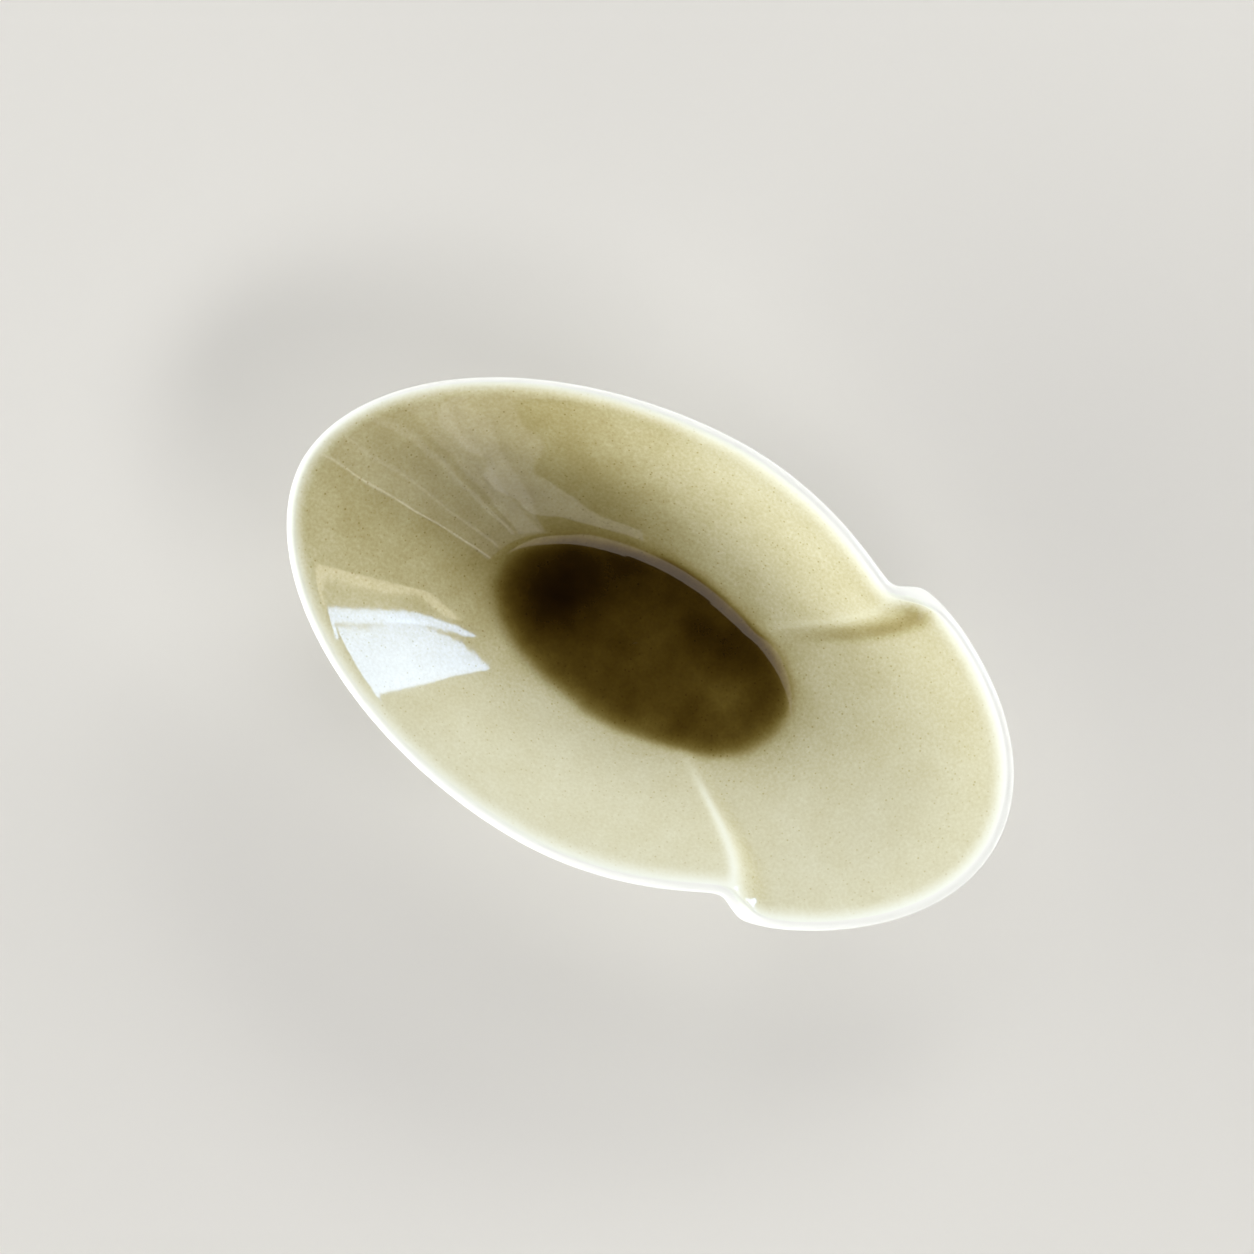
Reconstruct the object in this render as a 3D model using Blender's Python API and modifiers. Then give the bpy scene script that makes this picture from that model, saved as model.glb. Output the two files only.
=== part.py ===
"""Amuse-bouche dish: a porcelain bowl leaf lapped over a smaller lobe leaf, on an oval foot ring.

Metres, +Z up. +X runs along the dish towards the lobe, and the dish rests on z = 0.
"""

import math

import bmesh
import bpy
import numpy as np
from mathutils import Vector

MM = 0.001

# Plan sizes, each a reach from the upright axis of the well
BOWL_BACK = 61.9 * MM  # outer rim of the bowl leaf, at the back
BOWL_FRONT = 51.6 * MM  # where the bowl leaf's rim would close in front
BOWL_HALF_WIDTH = 37.4 * MM
BOWL_FULLNESS = 1.9  # 2 is an ellipse, less is more pointed
LOBE_FRONT = 68.1 * MM  # outer rim of the lobe leaf, at its tip
LOBE_HALF_WIDTH = 38.6 * MM  # half width of the oval that the lobe's rim is part of
LOBE_FULLNESS = 2.0
WELL_BACK = 22.4 * MM
WELL_FRONT = 25.6 * MM
WELL_HALF_WIDTH = 12.2 * MM
WELL_FULLNESS = 2.0

# Heights and thicknesses
RIM_HEIGHT = 26.0 * MM
LOBE_DROP = 1.5 * MM  # the lobe's rim lies this much lower
WALL = 2.4 * MM
FOOT_HEIGHT = 3.6 * MM  # clear space under the floor of the well
FOOT_WIDTH = 2.8 * MM
FOOT_INSET = 0.6 * MM  # outer side of the foot, in from the well's outline
FOOT_ROUND = 0.5 * MM
FOLD_ROUND = 0.9 * MM  # how softly the inside turns over the crease
LAP_ROUND = 0.45 * MM  # how softly the outside and the rim turn over it
COAT = 0.7 * MM  # thickness of the coloured glaze on the walls
COAT_EDGE = 0.4 * MM  # the coat thins to this along its edges
POOL_DEPTH = 2.6 * MM  # level of the set glaze above the floor of the well

# The creases where the bowl leaf laps over the lobe leaf, as angles round the well
FOLD_ANGLE = math.radians(33.0)  # middle of the step on the inside
LAP_ANGLE = math.radians(36.4)  # middle of the step on the outside
BOW_ANGLE = math.radians(4.5)  # the creases bow back by this much at the rim
TUCK_ANGLE = math.radians(2.0)  # the parting keeps this far from the middle of either step
BROW_ANGLE = math.radians(1.0)  # from the middle of the step up to its brow, where the glaze runs thin
BARE_ANGLE = math.radians(1.0)  # width of the bare line along the brow
BOW_POWER = 6
STEP_POWER = 1.4  # the step grows with this power of the way up the wall

# Shares of the way from the well (0) to the rim (1)
FLOOR_CENTRE = -0.6
FLOOR_SOFT = 0.2  # how softly the floor turns up into the wall
LEAF_SEAM = 0.17  # where the lobe leaf starts in front of the well
COAT_TOP = 0.96  # the coloured glaze stops here and leaves the rim white
SEAM_TOP = 1.3  # the parting cut runs out past the rim

# Shares of the way through the wall, from inside (0) to outside (1)
SEAM_DEPTHS = (-1.6, 0.0, 1.0, 2.2)  # the parting cut stands out past both faces
TUCK_LIMIT = 0.3  # past either face it runs straight on after this share

# Clearances
SEAM_GAP = 0.3 * MM  # between pieces that touch

# Mesh divisions
HALF_COLUMNS = 56  # from the lobe's tip round to the back of the bowl
FOLD_CROWD = 0.36  # share of those that crowd over the crease
FOLD_SPREAD = math.radians(3.0)
SEAM_COLUMNS = 36
FOOT_COLUMNS = 56
POOL_COLUMNS = 48
FLOOR_ROWS = 2
BEND_ROWS = 5
WALL_ROWS = 3
LIP_ROWS = 5

AXIS_X = (BOWL_BACK - LOBE_FRONT) / 2  # puts the origin midway along the dish
BEND_TOP = 2 * FLOOR_SOFT  # share above which the wall is all but straight


for old in list(bpy.data.objects):
    bpy.data.objects.remove(old, do_unlink=True)

dish_parts = bpy.data.collections.new("amuse_bouche_dish")
dish_cutters = bpy.data.collections.new("cutters")
bpy.context.scene.collection.children.link(dish_parts)
bpy.context.scene.collection.children.link(dish_cutters)


def oval(angle, back, front, half_width, fullness):
    length = front if math.cos(angle) > 0 else back
    along = abs(math.cos(angle) / length) ** fullness
    across = abs(math.sin(angle) / half_width) ** fullness
    return (along + across) ** (-1 / fullness)


def well_reach(angle):
    return oval(angle, WELL_BACK, WELL_FRONT, WELL_HALF_WIDTH, WELL_FULLNESS)


def plan_angle(station, share):
    """Direction from the well axis: the columns bow with the creases as they near the rim."""
    side = abs(station)
    fold = side / FOLD_ANGLE if side < FOLD_ANGLE else (math.pi - side) / (math.pi - FOLD_ANGLE)
    bow = BOW_ANGLE * fold * min(max(share, 0.0), 1.0) ** BOW_POWER
    return math.copysign(side + bow, station)


def lobe_blend(station, reach, inside):
    """0 at the back of the bowl leaf, 1 at the lobe's tip, with nearly all the change at the crease."""
    crease, rounding = (FOLD_ANGLE, FOLD_ROUND) if inside else (LAP_ANGLE, LAP_ROUND)

    def turn(angle):
        return math.atan((math.cos(angle) - math.cos(crease)) / math.sin(crease) * reach / rounding)

    return (turn(station) - turn(math.pi)) / (turn(0.0) - turn(math.pi))


def lift_of(share):
    """Half a hyperbola: level over the floor, then ever closer to a straight rise."""
    return (share + math.hypot(share, FLOOR_SOFT)) / 2


full_lift = lift_of(1.0) - lift_of(FLOOR_CENTRE)


def middle(station, share, inside):
    """Angle, reach, height and slope of the middle of the wall."""
    angle = plan_angle(station, share)
    up = max(share, 0.0)
    bowl = oval(angle, BOWL_BACK, BOWL_FRONT, BOWL_HALF_WIDTH, BOWL_FULLNESS)
    lobe = oval(angle, LOBE_FRONT, LOBE_FRONT, LOBE_HALF_WIDTH, LOBE_FULLNESS)
    well = well_reach(angle)
    run = bowl - WALL / 2 - well
    blend = lobe_blend(station, well + run * up, inside)
    step = (lobe - bowl) * blend
    reach = well + run * share + step * up ** STEP_POWER
    if share < 0:
        reach += (-run * FLOOR_CENTRE - well) * (share / FLOOR_CENTRE) ** 2
    low = FOOT_HEIGHT + WALL / 2
    rise = (RIM_HEIGHT - LOBE_DROP * blend - WALL / 2 - low) / full_lift
    height = low + rise * (lift_of(share) - lift_of(FLOOR_CENTRE))
    climb = rise * (1 + share / math.hypot(share, FLOOR_SOFT)) / 2
    spread = run + step * STEP_POWER * up ** (STEP_POWER - 1)
    return angle, reach, height, math.atan2(climb, spread)


def place(angle, reach, height):
    return Vector((AXIS_X + reach * math.cos(angle), reach * math.sin(angle), height))


def inner_skin(station, share, lift=0.0):
    """Point on the inside of the wall, lifted off it into the hollow."""
    angle, reach, height, slope = middle(station, share, True)
    off = WALL / 2 + lift
    return place(angle, reach - off * math.sin(slope), height + off * math.cos(slope))


def outer_skin(station, share):
    angle, reach, height, slope = middle(station, share, False)
    off = WALL / 2
    return place(angle, reach + off * math.sin(slope), height - off * math.cos(slope))


def lip_point(station, turn):
    """Point on the rounded rim, turning from the inside over the top to the outside."""
    inner = inner_skin(station, 1.0)
    outer = outer_skin(station, 1.0)
    angle, _, _, slope = middle(station, 1.0, True)
    end = Vector((math.cos(angle) * math.cos(slope), math.sin(angle) * math.cos(slope), math.sin(slope)))
    centre = (inner + outer) / 2
    return centre + (inner - outer) / 2 * math.cos(turn) + end * (WALL / 2) * math.sin(turn)


def make_material(name, colour, roughness):
    material = bpy.data.materials.new(name)
    material.use_nodes = True
    shader = material.node_tree.nodes["Principled BSDF"]
    shader.inputs["Base Color"].default_value = (*colour, 1.0)
    shader.inputs["Roughness"].default_value = roughness
    material.diffuse_color = (*colour, 1.0)
    return material


def lay_sheet(name, columns, rows, point, collection):
    """A grid whose vertex in column i and row j is laid at point(i, j); edges that meet are welded."""
    work = bmesh.new()
    bmesh.ops.create_grid(work, x_segments=columns, y_segments=rows, size=1.0)
    for vertex in work.verts:
        column = round((vertex.co.x + 1) / 2 * columns)
        row = round((vertex.co.y + 1) / 2 * rows)
        vertex.co = point(column, row)
    bmesh.ops.remove_doubles(work, verts=work.verts, dist=0.00001)
    bmesh.ops.holes_fill(work, edges=[edge for edge in work.edges if edge.is_boundary], sides=0)
    bmesh.ops.recalc_face_normals(work, faces=work.faces)
    for face in work.faces:
        face.smooth = True
    mesh = bpy.data.meshes.new(name)
    work.to_mesh(mesh)
    work.free()
    sheet = bpy.data.objects.new(name, mesh)
    collection.objects.link(sheet)
    return sheet


def round_stations():
    """Directions right round the well, evenly along an oval rim but crowded over the creases."""
    angles = np.linspace(0.0, math.pi, 2000)
    even = np.arctan2(np.sin(angles) * LOBE_FRONT, np.cos(angles) * LOBE_HALF_WIDTH) / math.pi
    crease = (FOLD_ANGLE + LAP_ANGLE) / 2
    crowd = np.arctan((angles - crease) / FOLD_SPREAD)
    crowd = (crowd - crowd[0]) / (crowd[-1] - crowd[0])
    filled = FOLD_CROWD * crowd + (1 - FOLD_CROWD) * even
    half = np.interp(np.linspace(0.0, 1.0, HALF_COLUMNS + 1), filled, angles)
    return [float(angle) for angle in np.concatenate([half, -half[-2::-1]])]


# The two porcelain leaves: one thrown wall, parted along the lap
floor_shares = np.linspace(FLOOR_CENTRE, -FLOOR_SOFT, FLOOR_ROWS + 1).tolist()
bend_shares = np.linspace(-FLOOR_SOFT, BEND_TOP, BEND_ROWS + 1).tolist()
rising_shares = np.linspace(BEND_TOP, COAT_TOP, WALL_ROWS + 1).tolist()
wall_shares = floor_shares + bend_shares[1:-1] + rising_shares + [1.0]
lip_turns = [math.pi * (step + 1) / (LIP_ROWS + 1) for step in range(LIP_ROWS)]
stations = round_stations()


def body_point(column, row):
    station = stations[column]
    count = len(wall_shares)
    if row < count:
        return inner_skin(station, wall_shares[row])
    if row < count + LIP_ROWS:
        return lip_point(station, lip_turns[row - count])
    return outer_skin(station, wall_shares[2 * count + LIP_ROWS - 1 - row])


def seam_point(column, row):
    """The parting between the leaves: along one crease, round the front of the well and back."""
    depth = SEAM_DEPTHS[row]
    inside, outside = FOLD_ANGLE - TUCK_ANGLE, LAP_ANGLE + TUCK_ANGLE
    edge = inside + (outside - inside) * min(max(depth, -TUCK_LIMIT), 1 + TUCK_LIMIT)
    turn = math.pi * (column / SEAM_COLUMNS - 0.5)
    station = math.copysign(edge * math.sqrt(abs(math.sin(turn))), turn)
    share = SEAM_TOP - (SEAM_TOP - LEAF_SEAM) * math.sqrt(max(math.cos(turn), 0.0))
    inner = inner_skin(station, share)
    return inner + (outer_skin(station, share) - inner) * depth


def lay_seam():
    work = bmesh.new()
    rows = len(SEAM_DEPTHS) - 1
    bmesh.ops.create_grid(work, x_segments=SEAM_COLUMNS, y_segments=rows, size=1.0)
    for vertex in work.verts:
        column = round((vertex.co.x + 1) / 2 * SEAM_COLUMNS)
        vertex.co = seam_point(column, round((vertex.co.y + 1) / 2 * rows))
    mesh = bpy.data.meshes.new("leaf_seam")
    work.to_mesh(mesh)
    work.free()
    seam = bpy.data.objects.new("leaf_seam", mesh)
    dish_cutters.objects.link(seam)
    saw = seam.modifiers.new("Solidify", 'SOLIDIFY')
    saw.thickness = SEAM_GAP
    saw.offset = 0.0
    seam.modifiers.new("Triangulate", 'TRIANGULATE')
    seam.hide_render = True
    seam.display_type = 'WIRE'
    return seam


body = lay_sheet("bowl_leaf", len(stations) - 1, 2 * len(wall_shares) + LIP_ROWS - 1, body_point, dish_parts)
flats = body.modifiers.new("Triangulate", 'TRIANGULATE')
parting = body.modifiers.new("Parting", 'BOOLEAN')
parting.operation = 'DIFFERENCE'
parting.solver = 'EXACT'
parting.object = lay_seam()
bpy.context.view_layer.objects.active = body
body.select_set(True)
bpy.ops.object.modifier_apply(modifier=flats.name)
bpy.ops.object.modifier_apply(modifier=parting.name)
bpy.ops.object.mode_set(mode='EDIT')
bpy.ops.mesh.select_all(action='SELECT')
bpy.ops.mesh.separate(type='LOOSE')
bpy.ops.object.mode_set(mode='OBJECT')
leaves = sorted(dish_parts.objects, key=lambda leaf: min(corner[0] for corner in leaf.bound_box))
bowl_leaf, lobe_leaf = leaves[0], leaves[-1]
bowl_leaf.name = "bowl_leaf"
lobe_leaf.name = "lobe_leaf"


# The foot ring, its top following the underside of the floor
foot_turns = np.linspace(0.0, 2 * math.pi, FOOT_COLUMNS + 1)


def underside(angle, reach):
    """Height of the outside of the wall at a reach from the well axis."""
    shares = np.linspace(FLOOR_CENTRE, BEND_TOP, 80)
    points = [outer_skin(angle, float(share)) for share in shares]
    reaches = [math.hypot(spot.x - AXIS_X, spot.y) for spot in points]
    return float(np.interp(reach, reaches, [spot.z for spot in points]))


def foot_point(column, row):
    angle = float(math.remainder(foot_turns[column], 2 * math.pi))
    outer = well_reach(angle) - FOOT_INSET
    inner = outer - FOOT_WIDTH
    top_out = underside(angle, outer) - SEAM_GAP
    top_in = underside(angle, inner) - SEAM_GAP
    nip = FOOT_ROUND * (1 - math.cos(math.pi / 4))  # halfway round either bottom corner
    outline = [(inner, top_in), (outer, top_out), (outer, FOOT_ROUND), (outer - nip, nip),
               (outer - FOOT_ROUND, 0.0), (inner + FOOT_ROUND, 0.0), (inner + nip, nip),
               (inner, FOOT_ROUND), (inner, top_in)]
    reach, height = outline[row]
    return place(angle, reach, height)


foot_ring = lay_sheet("foot_ring", FOOT_COLUMNS, 8, foot_point, dish_parts)


# The coloured glaze on the two leaves, from just above the pool to below the white rim
pool_lift = lift_of(FLOOR_CENTRE) + full_lift * POOL_DEPTH / (RIM_HEIGHT - FOOT_HEIGHT - WALL)
pool_edge = pool_lift - FLOOR_SOFT ** 2 / (4 * pool_lift)
coat_start = pool_edge + SEAM_GAP / (BOWL_HALF_WIDTH - WELL_HALF_WIDTH)
coat_shares = [coat_start] + [share for share in bend_shares[:-1] if share > coat_start] + rising_shares


def coat_point(angles, column, row):
    """The coat's underside runs up the wall and its face runs back down, both thin at the edges."""
    count = len(coat_shares)
    step = row % (2 * count)
    face = step >= count
    step = 2 * count - 1 - step if face else step
    edge = step in (0, count - 1)
    lift = SEAM_GAP + (COAT_EDGE if edge else COAT) * face
    if column in (0, len(angles) + 1):
        lift = SEAM_GAP + COAT_EDGE / 2  # the two ends close on a line
    station = angles[min(max(column - 1, 0), len(angles) - 1)]
    return inner_skin(station, coat_shares[step], lift)


def lay_coat(name, angles):
    rows = 2 * len(coat_shares)
    return lay_sheet(name, len(angles) + 1, rows, lambda i, j: coat_point(angles, i, j), dish_parts)


# The coats part at the brow of the fold, where the glaze runs thin and the porcelain shows
brow = FOLD_ANGLE + BROW_ANGLE
bowl_angles = [angle for angle in stations if abs(angle) > brow + BARE_ANGLE / 2]
lobe_angles = sorted(angle for angle in stations[1:] if abs(angle) < brow - BARE_ANGLE / 2)
bowl_glaze = lay_coat("bowl_glaze", bowl_angles)
lobe_glaze = lay_coat("lobe_glaze", lobe_angles)


# The set pool in the well, level on top
pool_shares = floor_shares + [share for share in bend_shares[1:] if share < pool_edge] + [pool_edge]
pool_level = FOOT_HEIGHT + WALL + POOL_DEPTH
pool_turns = np.linspace(0.0, 2 * math.pi, POOL_COLUMNS + 1)


def pool_point(column, row):
    station = float(math.remainder(pool_turns[column], 2 * math.pi))
    if row < len(pool_shares):
        return inner_skin(station, pool_shares[row], SEAM_GAP)
    top = inner_skin(station, pool_shares[2 * len(pool_shares) - 1 - row], SEAM_GAP)
    top.z = pool_level + SEAM_GAP
    return top


glaze_pool = lay_sheet("glaze_pool", POOL_COLUMNS, 2 * len(pool_shares) - 1, pool_point, dish_parts)


# Finishes, and all pieces under one frame
dish_frame = bpy.data.objects.new("dish_frame", None)
dish_parts.objects.link(dish_frame)
finishes = [
    (bowl_leaf, "bowl_porcelain", (0.83, 0.83, 0.80), 0.12),
    (lobe_leaf, "lobe_porcelain", (0.83, 0.83, 0.80), 0.12),
    (foot_ring, "bare_porcelain", (0.75, 0.72, 0.66), 0.6),
    (bowl_glaze, "bowl_celadon", (0.46, 0.41, 0.21), 0.1),
    (lobe_glaze, "lobe_celadon", (0.58, 0.54, 0.34), 0.1),
    (glaze_pool, "pool_glass", (0.045, 0.026, 0.003), 0.05),
]
for piece, slot, colour, roughness in finishes:
    piece.data.name = piece.name
    piece.data.materials.clear()
    piece.data.materials.append(make_material(slot, colour, roughness))
    piece.parent = dish_frame
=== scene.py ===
import math
import bpy
import numpy as np
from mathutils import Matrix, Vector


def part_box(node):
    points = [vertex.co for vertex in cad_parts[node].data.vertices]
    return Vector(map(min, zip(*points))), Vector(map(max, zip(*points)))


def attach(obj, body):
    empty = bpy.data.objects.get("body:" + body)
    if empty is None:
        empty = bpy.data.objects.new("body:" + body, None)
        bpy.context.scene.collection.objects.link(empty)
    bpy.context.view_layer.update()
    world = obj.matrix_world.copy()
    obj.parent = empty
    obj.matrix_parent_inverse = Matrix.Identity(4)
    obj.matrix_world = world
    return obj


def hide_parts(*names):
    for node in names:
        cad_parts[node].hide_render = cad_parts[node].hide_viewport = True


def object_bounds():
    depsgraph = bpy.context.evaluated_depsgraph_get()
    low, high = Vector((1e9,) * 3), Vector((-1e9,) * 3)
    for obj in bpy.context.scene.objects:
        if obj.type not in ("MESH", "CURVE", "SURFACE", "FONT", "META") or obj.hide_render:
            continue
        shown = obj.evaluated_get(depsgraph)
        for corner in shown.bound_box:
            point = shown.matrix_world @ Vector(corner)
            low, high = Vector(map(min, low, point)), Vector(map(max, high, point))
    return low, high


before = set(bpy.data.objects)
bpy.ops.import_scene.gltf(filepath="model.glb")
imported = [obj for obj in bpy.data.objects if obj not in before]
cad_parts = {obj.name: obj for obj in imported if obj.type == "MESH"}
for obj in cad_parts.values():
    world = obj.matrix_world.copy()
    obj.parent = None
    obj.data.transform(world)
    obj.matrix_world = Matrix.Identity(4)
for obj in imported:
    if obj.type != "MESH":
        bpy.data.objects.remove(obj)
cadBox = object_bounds()
dishLow, dishHigh = cadBox
mm = 0.001
print("frame loaded:", sorted(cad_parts))


# the wall: reaches are from the upright axis of the well
wall = {
    "axisX": -3.1 * mm,  # from the middle of the dish
    "bowlFront": 51.6 * mm,
    "bowlHalfWidth": 37.4 * mm,
    "bowlFullness": 1.9,
    "lobeHalfWidth": 38.6 * mm,
    "wellBack": 22.4 * mm,
    "wellFront": 25.6 * mm,
    "wellHalfWidth": 12.2 * mm,
    "lobeDrop": 1.5 * mm,  # how much lower the lobe's rim is
    "thickness": 2.4 * mm,
    "footClear": 3.6 * mm,  # room for the foot under it
    "foldRound": 0.9 * mm,  # how softly the inside and the outside turn over the crease
    "lapRound": 0.45 * mm,
    "fold": math.radians(33.0),  # middle of the step, inside and outside
    "lap": math.radians(36.4),
    "bow": math.radians(4.5),  # the creases bow back towards the rim
    "bowPower": 6,
    "stepPower": 1.4,  # how the step at the crease grows on the way up
    "floorCentre": -0.6,  # shares of the way from the well's edge to the rim
    "floorSoft": 0.2,
}
wall["bowlBack"] = wall["axisX"] - dishLow.x  # reaches and rim that the frame gives
wall["lobeFront"] = dishHigh.x - wall["axisX"]
wall["rimHeight"] = dishHigh.z


def smoothStep(share):
    share = np.clip(share, 0.0, 1.0)
    return share ** 3 * (share * (share * 6 - 15) + 10)


def bell(offset, width):
    return np.exp(-(offset / width) ** 2)


ellipse = 2  # the fullness of a plain ellipse; less is more pointed


def oval(angle, back, front, halfWidth, fullness):
    length = np.where(np.cos(angle) > 0, front, back)
    along = np.abs(np.cos(angle) / length) ** fullness
    across = np.abs(np.sin(angle) / halfWidth) ** fullness
    return (along + across) ** (-1 / fullness)


# a station is a direction round the well, a share the way up from its edge (0) to the rim (1);
# columns bow with the creases as they near the rim
def planAngle(station, share):
    side, fold = np.abs(station), wall["fold"]
    near = np.where(side < fold, side / fold, (math.pi - side) / (math.pi - fold))
    bow = wall["bow"] * near * np.clip(share, 0.0, 1.0) ** wall["bowPower"]
    return np.copysign(side + bow, station)


def lobeBlend(station, reach, inside):  # 0 at the back of the bowl, 1 at the lobe's tip
    crease, soft = (wall["fold"], wall["foldRound"]) if inside else (wall["lap"], wall["lapRound"])

    def turn(angle):
        return np.arctan((np.cos(angle) - math.cos(crease)) / math.sin(crease) * reach / soft)

    return (turn(station) - turn(math.pi)) / (turn(0.0) - turn(math.pi))


def liftOf(share):  # half a hyperbola: level floor, then a nearly straight rise
    return (share + np.hypot(share, wall["floorSoft"])) / 2


# the middle of the wall at a direction and a share of the way up: plan angle, reach, height and slope
def wallMiddle(station, share, inside):
    angle = planAngle(station, share)
    bowl = oval(angle, wall["bowlBack"], wall["bowlFront"], wall["bowlHalfWidth"], wall["bowlFullness"])
    lobe = oval(angle, wall["lobeFront"], wall["lobeFront"], wall["lobeHalfWidth"], ellipse)
    well = oval(angle, wall["wellBack"], wall["wellFront"], wall["wellHalfWidth"], ellipse)
    centre, power, up = wall["floorCentre"], wall["stepPower"], np.maximum(share, 0.0)
    run = bowl - wall["thickness"] / 2 - well
    blend = lobeBlend(station, well + run * up, inside)
    step = (lobe - bowl) * blend
    reach = well + run * share + step * up ** power
    reach += np.where(share < 0, (-run * centre - well) * (share / centre) ** 2, 0.0)
    floor = wall["footClear"] + wall["thickness"] / 2
    rise = wall["rimHeight"] - wall["lobeDrop"] * blend - wall["thickness"] / 2 - floor
    rise = rise / (liftOf(1.0) - liftOf(centre))
    climb = rise * (1 + share / np.hypot(share, wall["floorSoft"])) / 2
    spread = run + step * power * up ** (power - 1)
    return angle, reach, floor + rise * (liftOf(share) - liftOf(centre)), np.arctan2(climb, spread)


def placed(angle, reach, height):  # round the axis of the well
    return np.stack([wall["axisX"] + reach * np.cos(angle), reach * np.sin(angle), height], axis=-1)


def wallSkin(station, share, inside, lift=0.0):  # a point on the wall's inside or outside
    angle, reach, height, slope = wallMiddle(station, share, inside)
    off = (wall["thickness"] / 2 + lift) * (1 if inside else -1)
    return placed(angle, reach - off * np.sin(slope), height + off * np.cos(slope))


def lipPoint(station, turn, lift=0.0):  # round the lip, from the inside over the top to the outside
    inner = wallSkin(station, 1.0, True)
    outer = wallSkin(station, 1.0, False)
    angle, _, _, slope = wallMiddle(station, 1.0, True)
    end = np.stack([np.cos(angle) * np.cos(slope), np.sin(angle) * np.cos(slope), np.sin(slope)], axis=-1)
    over = (inner - outer) / 2 * np.cos(turn) + end * wall["thickness"] / 2 * np.sin(turn)
    return (inner + outer) / 2 + over * (1 + np.expand_dims(lift, -1) / wall["thickness"] * 2)


# how a sheet is ruled: directions round the well lie closest over the creases
ruling = {
    "crowded": 0.4,  # share of the columns that gather there
    "crowdWidth": math.radians(3.0),
    "tries": 4000,  # fine enough to space them by
    "weldGap": 0.002 * mm,
}


def roundStations(half):  # from the lobe's tip round to the back, and on to the tip again
    angles = np.linspace(0, math.pi, ruling["tries"])
    even = np.arctan2(np.sin(angles) * wall["lobeFront"], np.cos(angles) * wall["lobeHalfWidth"]) / math.pi
    crowd = np.arctan((angles - (wall["fold"] + wall["lap"]) / 2) / ruling["crowdWidth"])
    crowd = (crowd - crowd[0]) / (crowd[-1] - crowd[0])
    mixed = ruling["crowded"] * crowd + (1 - ruling["crowded"]) * even
    side = np.interp(np.linspace(0, 1, half + 1), mixed, angles)
    return np.concatenate([side, -side[-2::-1]])


def bandShares(start, bands):  # shares of the way up, band by band, each to its end in so many steps
    shares = [start]
    for end, steps in bands:
        shares.extend(np.linspace(shares[-1], end, steps + 1)[1:])
    return shares


def laySheet(name, points):  # a grid sheet laid over points[column, row]
    columns, rows = points.shape[0] - 1, points.shape[1] - 1
    bpy.ops.object.select_all(action='DESELECT')
    bpy.ops.mesh.primitive_grid_add(x_subdivisions=columns, y_subdivisions=rows, size=2)
    sheet = bpy.context.object
    sheet.name = sheet.data.name = name
    flat = np.empty(len(sheet.data.vertices) * 3)
    sheet.data.vertices.foreach_get("co", flat)
    flat = flat.reshape(-1, 3)
    column = np.rint((flat[:, 0] + 1) / 2 * columns).astype(int)
    row = np.rint((flat[:, 1] + 1) / 2 * rows).astype(int)
    sheet.data.vertices.foreach_set("co", points[column, row].ravel())
    return sheet, column, row


def closeSheet():  # welds the edges of the sheet just laid where they meet
    bpy.ops.object.mode_set(mode='EDIT')
    bpy.ops.mesh.select_all(action='SELECT')
    bpy.ops.mesh.remove_doubles(threshold=ruling["weldGap"])
    bpy.ops.mesh.normals_make_consistent(inside=False)
    bpy.ops.object.mode_set(mode='OBJECT')
    bpy.ops.object.shade_smooth()


def linear(hexColour):
    channels = [int(hexColour[i:i + 2], 16) / 255 for i in (1, 3, 5)]
    return [c / 12.92 if c <= 0.04045 else ((c + 0.055) / 1.055) ** 2.4 for c in channels]


def addNode(tree, kind, settings=None, inputs=None):
    node = tree.nodes.new(kind)
    for key, value in (settings or {}).items():
        setattr(node, key, value)
    for key, value in (inputs or {}).items():
        if isinstance(value, bpy.types.NodeSocket):
            tree.links.new(value, node.inputs[key])
        else:
            node.inputs[key].default_value = value
    return node


def newMaterial(name):
    material = bpy.data.materials.new(name)
    material.use_nodes = True
    return material, material.node_tree, material.node_tree.nodes["Principled BSDF"]


# white porcelain under clear glaze: dense white clay, so bright and even, with a wet gloss on top
porcelain = {
    "whiteHex": "#E8E9E4",
    "roughness": 0.07,
    "ior": 1.5,
    "waveMm": 9.0,  # the glaze set in slow, shallow waves
    "waveDeep": 0.02 * mm,
}


def makePorcelain():
    material, tree, shader = newMaterial("clearGlazedPorcelain")
    place = addNode(tree, "ShaderNodeTexCoord").outputs["Object"]
    wave = addNode(tree, "ShaderNodeTexNoise", None,
                   {"Vector": place, "Scale": 1 / (porcelain["waveMm"] * mm), "Detail": 2.0})
    bump = addNode(tree, "ShaderNodeBump", None,
                   {"Height": wave.outputs["Fac"], "Distance": porcelain["waveDeep"], "Strength": 1.0})
    shader.inputs["Base Color"].default_value = (*linear(porcelain["whiteHex"]), 1.0)
    shader.inputs["Roughness"].default_value = porcelain["roughness"]
    shader.inputs["IOR"].default_value = porcelain["ior"]
    tree.links.new(bump.outputs["Normal"], shader.inputs["Normal"])
    return material


# celadon: iron-bearing glass over white clay, so its colour deepens with its thickness
celadon = {
    "clayHex": "#ECF0E8",  # the white clay under it, and what one usual coat makes of that
    "coatHex": "#C7C3A3",
    "roughness": 0.045,
    "ior": 1.52,
    "grainMm": 0.55,  # fine grain and soft clouds, and the share of the depth by which each varies
    "grainShare": 0.75,
    "cloudMm": 6.0,
    "cloudShare": 0.5,
    "speckMm": 1.0,  # spacing of the iron specks, their size and dark core as shares
    "speckSize": 0.21,
    "speckCore": 0.5,
    "speckDark": 0.75,  # coats that a speck adds
    "grainMost": 1.5,  # grain and specks grow with the depth up to this many coats
    "waveMm": 9.0,  # the glaze set a little uneven, in slow waves and in fine ripples
    "waveDeep": 0.015 * mm,
    "runDeep": 0.25 * mm,  # deeper waves where it ran down the back
    "rippleMm": 1.2,
    "rippleDeep": 0.003 * mm,
}


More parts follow.
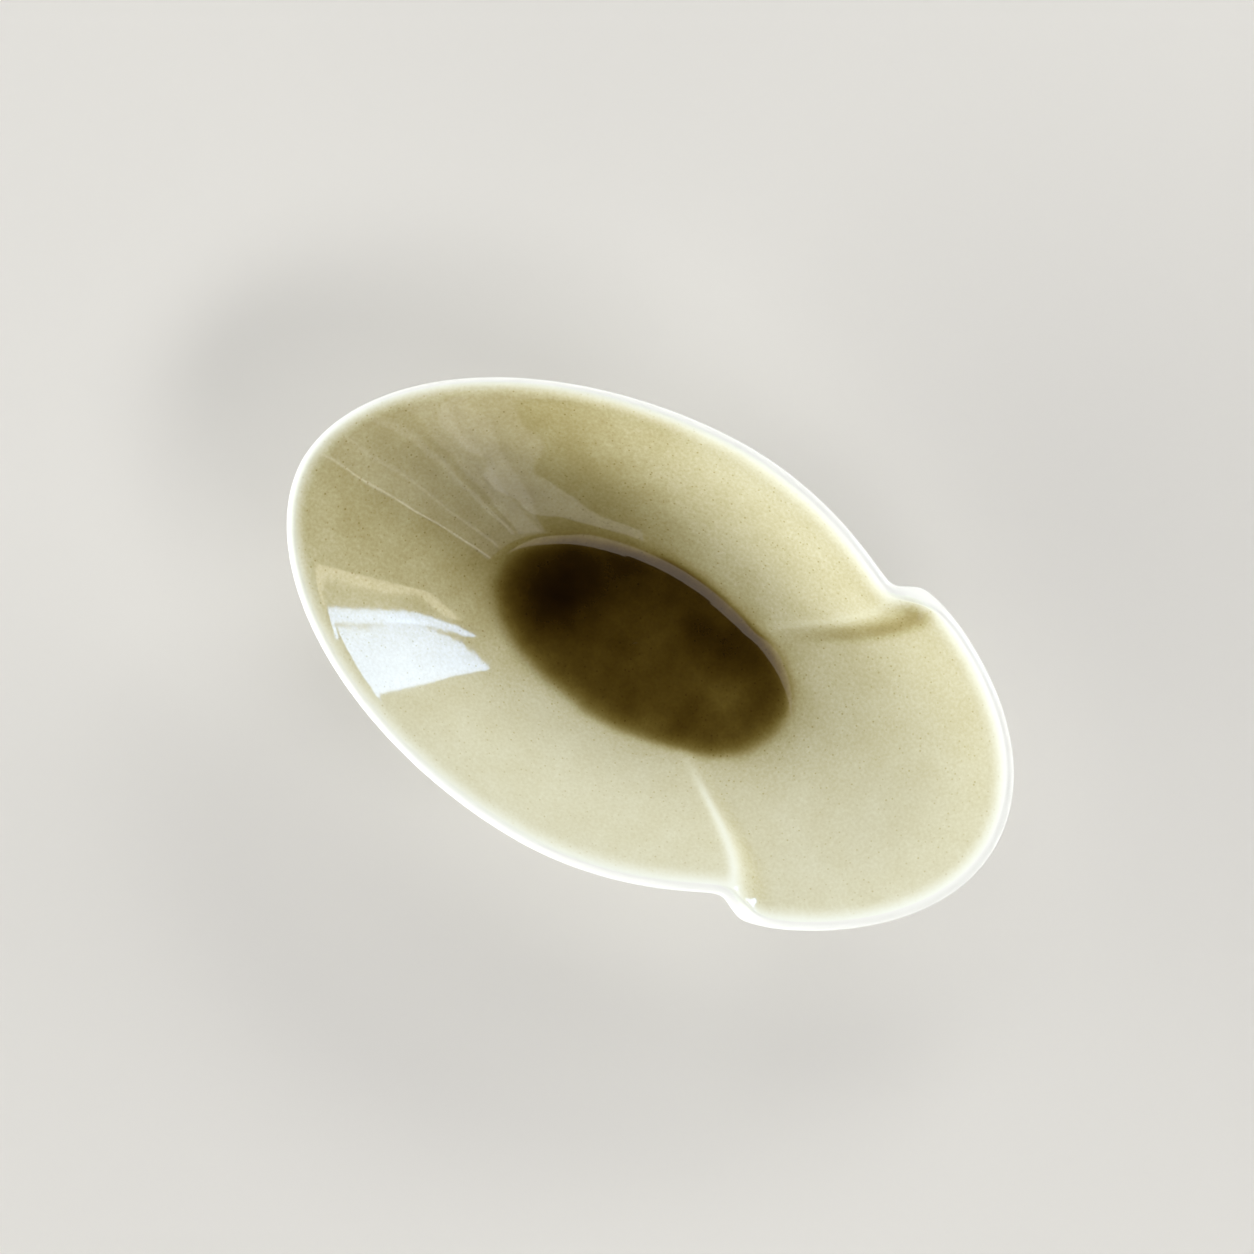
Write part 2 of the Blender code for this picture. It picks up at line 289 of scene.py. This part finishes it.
def makeCeladon():
    material, tree, shader = newMaterial("celadonGlaze")
    place = addNode(tree, "ShaderNodeTexCoord").outputs["Object"]
    # its depth in coats, which also carries painted shade and a painted highlight
    coatsAndPaintedLight = addNode(tree, "ShaderNodeAttribute", {"attribute_name": "glazeDepthAndPaintedLight"}).outputs["Fac"]
    grain = addNode(tree, "ShaderNodeTexNoise", None,
                    {"Vector": place, "Scale": 1 / (celadon["grainMm"] * mm), "Detail": 3.0})
    cloud = addNode(tree, "ShaderNodeTexNoise", None,
                    {"Vector": place, "Scale": 1 / (celadon["cloudMm"] * mm), "Detail": 3.0})
    cloudy = addNode(tree, "ShaderNodeMath", {"operation": 'MULTIPLY_ADD'},
                     {0: cloud.outputs["Fac"], 1: celadon["cloudShare"], 2: 1 - celadon["cloudShare"] / 2})
    cells = addNode(tree, "ShaderNodeTexVoronoi", {"feature": 'F1'},
                    {"Vector": place, "Scale": 1 / (celadon["speckMm"] * mm)})
    speck = addNode(tree, "ShaderNodeMapRange", None,
                    {"Value": cells.outputs["Distance"], "From Min": celadon["speckSize"],
                     "From Max": celadon["speckSize"] * celadon["speckCore"],
                     "To Min": 0.0, "To Max": celadon["speckDark"]})
    chance = addNode(tree, "ShaderNodeSeparateColor", None, {0: cells.outputs["Color"]}).outputs[0]
    speck = addNode(tree, "ShaderNodeMath", {"operation": 'MULTIPLY'}, {0: speck.outputs[0], 1: chance})
    speckled = addNode(tree, "ShaderNodeMath", {"operation": 'MULTIPLY_ADD'},
                       {0: grain.outputs["Fac"], 1: celadon["grainShare"], 2: speck.outputs[0]})
    speckled = addNode(tree, "ShaderNodeMath", {"operation": 'SUBTRACT'},
                       {0: speckled.outputs[0], 1: celadon["grainShare"] / 2})
    coated = addNode(tree, "ShaderNodeMath", {"operation": 'MINIMUM'}, {0: coatsAndPaintedLight, 1: celadon["grainMost"]})
    speckled = addNode(tree, "ShaderNodeMath", {"operation": 'MULTIPLY'},
                       {0: coated.outputs[0], 1: speckled.outputs[0]})
    thickAndPaintedLight = addNode(tree, "ShaderNodeMath", {"operation": 'MULTIPLY_ADD'},
                    {0: coatsAndPaintedLight, 1: cloudy.outputs[0], 2: speckled.outputs[0]})
    white, coat = linear(celadon["clayHex"]), linear(celadon["coatHex"])
    seen = addNode(tree, "ShaderNodeCombineColor")
    for channel in range(3):  # the clay's white, dimmed by the same share in every coat
        passed = addNode(tree, "ShaderNodeMath", {"operation": 'POWER'},
                         {0: coat[channel] / white[channel], 1: thickAndPaintedLight.outputs[0]})
        passed = addNode(tree, "ShaderNodeMath", {"operation": 'MULTIPLY'},
                         {0: passed.outputs[0], 1: white[channel]})
        tree.links.new(passed.outputs[0], seen.inputs[channel])
    wave = addNode(tree, "ShaderNodeTexNoise", None,
                   {"Vector": place, "Scale": 1 / (celadon["waveMm"] * mm), "Detail": 0.0})
    ripple = addNode(tree, "ShaderNodeTexNoise", None,
                     {"Vector": place, "Scale": 1 / (celadon["rippleMm"] * mm), "Detail": 0.0})
    run = addNode(tree, "ShaderNodeAttribute", {"attribute_name": "glazeRun"}).outputs["Fac"]
    deep = addNode(tree, "ShaderNodeMath", {"operation": 'MULTIPLY_ADD'},
                   {0: run, 1: celadon["runDeep"], 2: celadon["waveDeep"]})
    bump = addNode(tree, "ShaderNodeBump", None,
                   {"Height": wave.outputs["Fac"], "Distance": deep.outputs[0], "Strength": 1.0})
    bump = addNode(tree, "ShaderNodeBump", None,
                   {"Height": ripple.outputs["Fac"], "Distance": celadon["rippleDeep"], "Strength": 1.0,
                    "Normal": bump.outputs["Normal"]})
    tree.links.new(seen.outputs["Color"], shader.inputs["Base Color"])
    tree.links.new(bump.outputs["Normal"], shader.inputs["Normal"])
    shader.inputs["Roughness"].default_value = celadon["roughness"]
    shader.inputs["IOR"].default_value = celadon["ior"]
    return material


# bare fired porcelain, wiped clean of glaze so that it doesn't stick to the kiln shelf:
# matt and faintly gritty
bareClay = {
    "clayHex": "#E4DED2",
    "roughness": 0.62,
    "gritMm": 0.35,  # coarser than real grit, so that it shows
    "gritDeep": 0.03 * mm,
}


def makeBareClay():
    material, tree, shader = newMaterial("bareFiredPorcelain")
    place = addNode(tree, "ShaderNodeTexCoord").outputs["Object"]
    grit = addNode(tree, "ShaderNodeTexNoise", None,
                   {"Vector": place, "Scale": 1 / (bareClay["gritMm"] * mm), "Detail": 4.0})
    bump = addNode(tree, "ShaderNodeBump", None,
                   {"Height": grit.outputs["Fac"], "Distance": bareClay["gritDeep"], "Strength": 1.0})
    tree.links.new(bump.outputs["Normal"], shader.inputs["Normal"])
    shader.inputs["Base Color"].default_value = (*linear(bareClay["clayHex"]), 1.0)
    shader.inputs["Roughness"].default_value = bareClay["roughness"]
    return material


# rows of the wall's skin, as shares of the way up and steps to each: few under the glaze, most at the lip
floorEnd = 2 * wall["floorSoft"]
wallRows = {
    "columns": 300,  # on each side
    "inside": ((floorEnd, 7), (0.6, 1), (0.75, 1), (0.84, 1), (1.0, 13)),
    "lipSteps": 19,
    "outside": ((floorEnd, 21), (wall["floorCentre"], 29)),
}


# the porcelain wall: inside, lip and outside in one skin
def makeWall():
    station = roundStations(wallRows["columns"])
    rows = [wallSkin(station, share, True) for share in bandShares(wall["floorCentre"], wallRows["inside"])]
    turns = np.linspace(0, math.pi, wallRows["lipSteps"] + 1)
    rows += [lipPoint(station, turn) for turn in turns[1:-1]]
    rows += [wallSkin(station, share, False) for share in bandShares(1.0, wallRows["outside"])]
    piece, _, _ = laySheet("porcelain_wall", np.stack(rows, axis=1))
    closeSheet()
    piece.data.materials.append(makePorcelain())
    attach(piece, "root")
    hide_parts("bowl_leaf", "lobe_leaf")
    print("porcelain wall:", len(piece.data.polygons), "faces")


# the coloured glaze that ran down the wall and set in the well; depths count usual coats, and some of them
# are painted shade and a painted highlight
glaze = {
    "coat": 0.09 * mm,  # usual thickness on the wall
    "poolLevel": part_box("glaze_pool")[1].z + 0.3 * mm,  # it crept up a little as it set
    "poolMeniscus": 0.35 * mm,  # how softly the pool meets the wall, softer on the far side
    "poolSofter": 0.65 * mm,
    "bareRim": 1.2 * mm,  # white left inside the outline, less at the back and on the far side
    "bareBack": 0.8 * mm,
    "bareFar": 0.12 * mm,
    "rimFade": 3.1 * mm,  # way over which the coat then reaches its depth
    "lipTurn": math.radians(65.0),  # how far the coat climbs over the lip
    "outlineTurn": math.radians(125.0),  # where round the lip its outline lies, seen from above
    "outlinePoints": 1600,
    "edgeDip": 0.06,  # share of the coat by which its edge dips under the clay
    "underClay": 0.03 * mm,  # how far the back of the coat lies under the clay's skin
    "sideDepth": 0.70,  # depth on the near side
    "farMore": 0.40,  # more on the far side, and most where that meets the back
    "farSide": (math.radians(45.0), math.radians(46.0)),  # middle and width of each
    "backMore": 1.50,
    "backSide": (math.radians(155.0), math.radians(48.0)),
    "runDown": 0.35,  # share more towards the well, and more still near the well over the middle of the far side, where it is painted shade
    "wellShade": 0.6,
    "wellShadeMiddle": (math.radians(110.0), math.radians(30.0)),
    "runSide": (math.radians(162.0), math.radians(24.0)),  # where it ran down in waves
    "runStart": 0.15,  # share of the way up by which the waves are full
    "browThinAndHighlight": 0.8,  # the brow of the fold is paler, from thinner glaze and a painted highlight along it, less so on the far side, where it lies in shade
    "browFar": 0.7,
    "brow": (1.2 * mm, 0.9 * mm, -0.02, 0.6),  # beside the fold, width, start up the wall, way to full
    "grooveHeldAndShaded": 1.3,  # its groove is darker, from glaze held there and from painted shade, less so on the near side
    "grooveNear": 0.2,
    "groove": (-1.1 * mm, 1.2 * mm, 0.15, 0.6),
    "poolDepth": 6.0,
    "poolDark": 4.0,  # darker at the back end of the pool
    "darkSpot": (-18.5 * mm, 1.0 * mm, 5.0 * mm),  # along, across and width
    "poolPale": 1.2,  # paler at its front
    "paleSpot": (15.0 * mm, 0.5 * mm, 5.0 * mm),
    "poolEdgeShade": 1.9,  # darker too along its far edge, in a spot that is narrower across: painted shade from the far wall
    "edgeShadeSpot": (12.0 * mm, 8.0 * mm, 7.0 * mm, 1.5),
    "poolStart": -0.1 * mm,  # how far under its level it turns dark
    "poolNear": 0.25 * mm,  # more on the near side and at both ends
    "poolEnds": 0.5 * mm,
    "backEnd": 2.0,  # how soon a direction counts as the back end
    "frontEnd": (math.radians(-3.0), math.radians(14.0)),
    "poolSoft": 0.4 * mm,  # how softly the dark then starts
    "poolWay": 0.8 * mm,  # way down over which it darkens, shorter on the far side
    "poolCrisp": 0.45 * mm,
}


def insideOutline(points):  # distance in plan from the outline of the rim
    station = np.linspace(-math.pi, math.pi, glaze["outlinePoints"])
    edge = lipPoint(station, glaze["outlineTurn"])
    aside = points[:, None, :2] - edge[None, :, :2]
    return np.sqrt((aside ** 2).sum(axis=-1).min(axis=1))


def coatShare(station, points):  # none at the lip, full a little lower
    less = glaze["bareBack"] * (1 - np.cos(station)) / 2 + glaze["bareFar"] * np.sin(station)
    start = glaze["bareRim"] - less
    share = np.clip((insideOutline(points) - start) / glaze["rimFade"], 0.0, 1.0)
    return share ** 2 * (3 - 2 * share)


def aroundBell(angle, middle, width):  # the shorter way round counts
    return bell(np.angle(np.exp(1j * (angle - middle))), width)


def wallDepth(angle):  # usual depth of the coat by direction
    far = glaze["farMore"] * aroundBell(angle, *glaze["farSide"])
    back = glaze["backMore"] * aroundBell(angle, *glaze["backSide"])
    return glaze["sideDepth"] + (far + back)


def runShare(station, share):  # how wavy it set, from none in the pool
    return aroundBell(station, *glaze["runSide"]) * smoothStep(share / glaze["runStart"])


def edgeLift(fade):  # how far its face stands over the clay, under it at the edge
    return glaze["coat"] * (fade * (1 + glaze["edgeDip"]) - glaze["edgeDip"])


def creaseBand(aside, share, beside, width, start, way):  # runs along the fold and grows up the wall
    return bell(aside - beside, width) * smoothStep((share - start) / way)


def spot(face, along, across, width, narrow=1.0):  # round or oval, soft at its edge
    return bell(np.hypot(face[..., 0] - along, (face[..., 1] - across) * narrow), width)


# depth of the coat on the wall: more where it ran down, and near the well on the far side as painted shade;
# less on the brow of the fold, partly as a painted highlight; more in its groove, partly as painted shade
def wallCoatsAndPaintedLight(station, share, angle, reach, out):
    coat = glaze["sideDepth"] + (wallDepth(angle) - glaze["sideDepth"]) * out
    # near the well over the middle of the far side the coat is deepened further: painted shade
    middle, width = glaze["wellShadeMiddle"]
    run = glaze["runDown"] + glaze["wellShade"] * out * bell(angle - middle, width)
    coat = coat * (1 + run * np.clip(1 - share, 0, 1) ** 2)
    aside = (np.abs(station) - wall["fold"]) * reach  # from the fold, towards the bowl
    far = (1 + np.sign(station)) / 2
    # the brow's paler band is partly thinner glaze and partly painted highlight
    brow = creaseBand(aside, share, *glaze["brow"]) * (1 - glaze["browFar"] * far)
    # the groove's darker band is glaze held there and painted shade, full on the far side
    heldAndShaded = glaze["grooveNear"] + (1 - glaze["grooveNear"]) * far
    groove = creaseBand(aside, share, *glaze["groove"]) * heldAndShaded
    return coat * (1 - glaze["browThinAndHighlight"] * brow) + glaze["grooveHeldAndShaded"] * groove


# depth of the pool, from how far under its level the clay lies, with painted shade along its far edge
def poolCoatsAndShade(face, under, angle, out):
    deep = glaze["poolDepth"] + glaze["poolDark"] * spot(face, *glaze["darkSpot"])
    deep = deep - glaze["poolPale"] * spot(face, *glaze["paleSpot"])
    # painted shade: the pool darker along its far edge
    deep = deep + glaze["poolEdgeShade"] * spot(face, *glaze["edgeShadeSpot"])
    middle, width = glaze["frontEnd"]
    ends = out * (smoothStep(-glaze["backEnd"] * np.cos(angle)) + bell(angle - middle, width))
    side = out * np.sin(angle)
    under = under - glaze["poolStart"] + glaze["poolNear"] * side - glaze["poolEnds"] * ends
    under = (under + np.hypot(under, glaze["poolSoft"])) / 2
    return deep * (1 - np.exp(-under / (glaze["poolWay"] - glaze["poolCrisp"] * side)))


# a row of its face, from the middle of the pool up to the lip, and the depth of glaze along it, painted
# shade and highlight included
def glazeRow(station, share):
    angle, reach, _, _ = wallMiddle(station, share, True)
    fade = coatShare(station, wallSkin(station, share, True))
    face = wallSkin(station, share, True, edgeLift(fade))
    farther = np.clip(face[..., 1] / wall["wellHalfWidth"], 0, 1)
    soft = glaze["poolMeniscus"] + glaze["poolSofter"] * farther
    low, level = face[..., 2].copy(), glaze["poolLevel"]
    face[..., 2] = (low + level + np.hypot(low - level, soft)) / 2
    out = np.clip(reach / wall["wellHalfWidth"], 0, 1) ** 2  # what differs round the pool fades inwards
    coatsAndPaintedLight = wallCoatsAndPaintedLight(station, share, angle, reach, out) * fade + poolCoatsAndShade(face, level - low, angle, out)
    return face, coatsAndPaintedLight


def lipRow(station, turn, coat):  # the coat's thin edge over the lip, which dips under the clay
    fade = coatShare(station, lipPoint(station, turn))
    return lipPoint(station, turn, edgeLift(fade)), coat * fade


# rows of the lining, as for the wall: closest at the pool's edge
glazeRows = {
    "columns": 330,
    "face": ((-0.1, 11), (0.03, 8), (0.18, 25), (floorEnd, 11), (0.84, 19), (1.0, 17)),
    "lipSteps": 9,
    "lipEach": 3,  # one in three of them on the way back
    "back": ((wall["floorCentre"], 11),),
}


def makeGlaze():
    station = roundStations(glazeRows["columns"])
    none = np.zeros_like(station)
    under = -glaze["underClay"]
    shares = bandShares(wall["floorCentre"], glazeRows["face"])
    turns = np.linspace(0, glaze["lipTurn"], glazeRows["lipSteps"] + 1)[1:]
    rows = [glazeRow(station, share) for share in shares]
    rows += [lipRow(station, turn, wallDepth(station)) for turn in turns]
    rows += [(lipPoint(station, turn, under), none) for turn in turns[::-glazeRows["lipEach"]]]
    backShares = bandShares(1.0, glazeRows["back"])
    rows += [(wallSkin(station, share, True, under), none) for share in backShares]
    piece, column, row = laySheet("celadon_lining", np.stack([points for points, _ in rows], axis=1))
    layer = piece.data.attributes.new("glazeDepthAndPaintedLight", 'FLOAT', 'POINT')
    layer.data.foreach_set("value", np.stack([coatsAndPaintedLight for _, coatsAndPaintedLight in rows], axis=1)[column, row])
    waves = [runShare(station, share) for share in shares]
    waves += [none] * (len(rows) - len(shares))
    layer = piece.data.attributes.new("glazeRun", 'FLOAT', 'POINT')
    layer.data.foreach_set("value", np.stack(waves, axis=1)[column, row])
    closeSheet()
    piece.data.materials.append(makeCeladon())
    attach(piece, "root")
    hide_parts("bowl_glaze", "lobe_glaze", "glaze_pool")
    print("glaze lining:", len(piece.data.polygons), "faces")


# the foot it stands on, fused to the underside of the floor
foot = {
    "width": 2.8 * mm,
    "inset": 0.6 * mm,  # from the edge of the well
    "round": 0.6 * mm,
    "sunk": 0.25 * mm,  # how far it reaches into the clay above
    "columns": 180,
    "sideEnd": 0.95,  # the sides' rows stop short of the rounded corners
    "sideSteps": 5,
    "cornerSteps": 6,
    "tries": 80,  # points up the wall between which its underside is found
}


def underside(station, reach):  # height of the wall's outside at a reach from the axis of the well
    shares = np.linspace(wall["floorCentre"], floorEnd, foot["tries"])
    skin = np.stack([wallSkin(station, share, False) for share in shares])
    reaches = np.hypot(skin[..., 0] - wall["axisX"], skin[..., 1])
    return np.array([np.interp(r, reaches[:, i], skin[:, i, 2]) for i, r in enumerate(reach)])


def makeFoot():
    station = np.linspace(-math.pi, math.pi, foot["columns"] + 1)
    well = oval(station, wall["wellBack"], wall["wellFront"], wall["wellHalfWidth"], ellipse)
    outer = well - foot["inset"]
    inner = outer - foot["width"]
    sides = []
    for reach, way in ((outer, -1), (inner, 1)):  # down each side and round its lower corner
        top = underside(station, reach) + foot["sunk"]
        rows = []
        for share in np.linspace(0, foot["sideEnd"], foot["sideSteps"] + 1):
            rows.append((reach, top + (foot["round"] - top) * share))
        for turn in np.linspace(0, math.pi / 2, foot["cornerSteps"] + 1):
            inwards = way * foot["round"] * (1 - math.cos(turn))
            height = foot["round"] * (1 - math.sin(turn))
            rows.append((reach + inwards, np.full_like(station, height)))
        sides.append(rows)
    rows = sides[0] + sides[1][::-1]
    rows.append(rows[0])
    piece, _, _ = laySheet("fired_foot_ring", np.stack([placed(station, *row) for row in rows], axis=1))
    closeSheet()
    piece.data.materials.append(makeBareClay())
    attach(piece, "root")
    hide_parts("foot_ring")
    print("foot ring:", len(piece.data.polygons), "faces")
    return piece


makeWall()
makeGlaze()
footRing = makeFoot()


# plain pale floor, soft lamps and the view from straight above
studio = {
    "floorHex": "#CFCDC8",
    "floorSize": 1.3,  # metres
    "floorRough": 0.9,
    "worldHex": "#F4F6FA",
    "horizon": 0.16,  # strength of the sky there and overhead, and how far up it has faded
    "zenith": 0.02,
    "fadedAt": 0.85,
    "backdrop": 0.95,  # what the camera sees of it
    "lampFar": 0.9,  # metres from the dish
    "windowFar": 6.0,
}
fillLamps = {  # degrees wide and tall as the dish sees it, bearing, height, brightness
    "lowFill": (40.0, 8.0, -125.0, 7.0, 23.0),
    "backFill": (76.0, 8.0, -162.0, 15.0, 16.2),
    "frontFill": (32.0, 8.0, -60.0, 7.0, 13.2),
    "windowFill": (32.0, 14.0, 60.0, 13.0, 9.2),
    "farFill": (32.0, 10.0, 92.0, 25.0, 11.5),
    "highFill": (40.0, 14.0, -14.0, 40.0, 9.5),
    "farHighFill": (32.0, 14.0, 120.0, 40.0, 3.2),
    "skyFill": (50.0, 50.0, 0.0, 90.0, 0.62),
}
footFree = ("lowFill", "backFill")  # strong low lamps, which leave out the foot
glossLamps = {  # the same, for what is mirrored in the glaze, and where it differs tint, lean and distance
    "windowPane": (20.5, 8.2, 57.8, 20.0, 13.2, "#B4D0FF", -16.0, studio["windowFar"]),
    "windowTransom": (10.7, 1.9, 52.9, 25.8, 13.0, "#B4D0FF", 4.0, studio["windowFar"]),
    "windowLedge": (10.1, 1.1, 46.7, 29.7, 3.8, "#FFF6E0", -15.0, studio["windowFar"]),
    "paleScreen": (38.0, 28.0, -34.0, 38.0, 0.75),
    "screenEdge": (12.0, 22.0, -53.0, 33.0, 0.9),
    "screenLine": (1.0, 16.0, -10.5, 42.0, 2.6),
    "screenFold": (1.6, 14.0, -24.0, 40.0, 1.0),
    "screenPleat": (2.4, 14.0, -41.0, 35.0, 1.0),
    "screenTail": (29.0, 7.5, -67.0, 24.3, 1.3),
    "overheadStrip": (30.0, 30.0, -92.0, 66.0, 1.5, "#FFF2E6"),
}


def makeFloor():
    bpy.ops.object.select_all(action='DESELECT')
    bpy.ops.mesh.primitive_plane_add(size=studio["floorSize"], location=(0, 0, 0))
    floor = bpy.context.object
    floor.name = "floor"
    material, _, shader = newMaterial("palePaperFloor")
    shader.inputs["Base Color"].default_value = (*linear(studio["floorHex"]), 1.0)
    shader.inputs["Roughness"].default_value = studio["floorRough"]
    floor.data.materials.append(material)


def makeSky():  # dim, brighter at the horizon, and pale where the camera sees it
    world = bpy.data.worlds.new("studioWorld")
    world.use_nodes = True
    tree = world.node_tree
    sky = tree.nodes["Background"]
    sky.inputs["Color"].default_value = (*linear(studio["worldHex"]), 1.0)
    up = addNode(tree, "ShaderNodeSeparateXYZ", None,
                 {0: addNode(tree, "ShaderNodeTexCoord").outputs["Generated"]}).outputs["Z"]
    fall = addNode(tree, "ShaderNodeMapRange", None,
                   {"Value": up, "From Min": 0.0, "From Max": studio["fadedAt"],
                    "To Min": studio["horizon"], "To Max": studio["zenith"]})
    seen = addNode(tree, "ShaderNodeLightPath").outputs["Is Camera Ray"]
    level = addNode(tree, "ShaderNodeMix", None, {0: seen, 2: fall.outputs[0], 3: studio["backdrop"]})
    tree.links.new(level.outputs[0], sky.inputs["Strength"])
    bpy.context.scene.world = world


def addLamp(name, fill, wide, tall, bearing, height, brightness,
            tint="#FFFFFF", lean=0.0, far=studio["lampFar"]):
    data = bpy.data.lights.new(name, 'AREA')
    data.shape = 'RECTANGLE'
    data.size = 2 * far * math.tan(math.radians(wide / 2))
    data.size_y = 2 * far * math.tan(math.radians(tall / 2))
    data.energy = brightness * math.pi * data.size * data.size_y
    data.color = linear(tint)
    lamp = bpy.data.objects.new(name, data)
    bpy.context.scene.collection.objects.link(lamp)
    turn, lift = math.radians(bearing), math.radians(height)
    away = Vector((math.cos(turn) * math.cos(lift), math.sin(turn) * math.cos(lift), math.sin(lift)))
    lamp.location = away * far + Vector((0, 0, dishHigh.z))
    lamp.rotation_euler = (-away).to_track_quat('-Z', 'Y').to_euler()
    lamp.rotation_euler.rotate_axis('Z', math.radians(lean))
    lamp.visible_diffuse = fill
    lamp.visible_glossy = not fill
    lamp.visible_camera = False
    return lamp


def makeLamps():
    shaded = bpy.data.collections.new("underTheDish")
    shaded.objects.link(footRing)
    shaded.collection_objects[0].light_linking.link_state = 'EXCLUDE'
    for name, values in fillLamps.items():
        lamp = addLamp(name, True, *values)
        if name in footFree:
            lamp.light_linking.receiver_collection = shaded
    for name, values in glossLamps.items():
        addLamp(name, False, *values)
    print("lamps:", len(fillLamps), "to light it,", len(glossLamps), "to mirror")


# the photograph's framing: width of the frame at the rim, the way it is turned, the dish's offset in it
view = {
    "frameWidth": 204.65 * mm,
    "far": 700.0 * mm,
    "roll": math.radians(29.0),
    "rightOf": 3.71 * mm,
    "below": 4.24 * mm,
    "sensor": 36.0,  # millimetres, as the lens
}


def makeCamera():
    data = bpy.data.cameras.new("aboveCamera")
    data.sensor_width = view["sensor"]
    data.lens = view["sensor"] * view["far"] / view["frameWidth"]
    camera = bpy.data.objects.new("aboveCamera", data)
    bpy.context.scene.collection.objects.link(camera)
    right = (math.cos(view["roll"]), math.sin(view["roll"]))
    up = (-right[1], right[0])
    across, along = -view["rightOf"], view["below"]
    camera.location = (right[0] * across + up[0] * along, right[1] * across + up[1] * along,
                       wall["rimHeight"] + view["far"])
    camera.rotation_euler = (0, 0, view["roll"])
    bpy.context.scene.camera = camera


makeFloor()
makeSky()
makeLamps()
makeCamera()
bpy.context.scene.view_settings.view_transform = 'Standard'
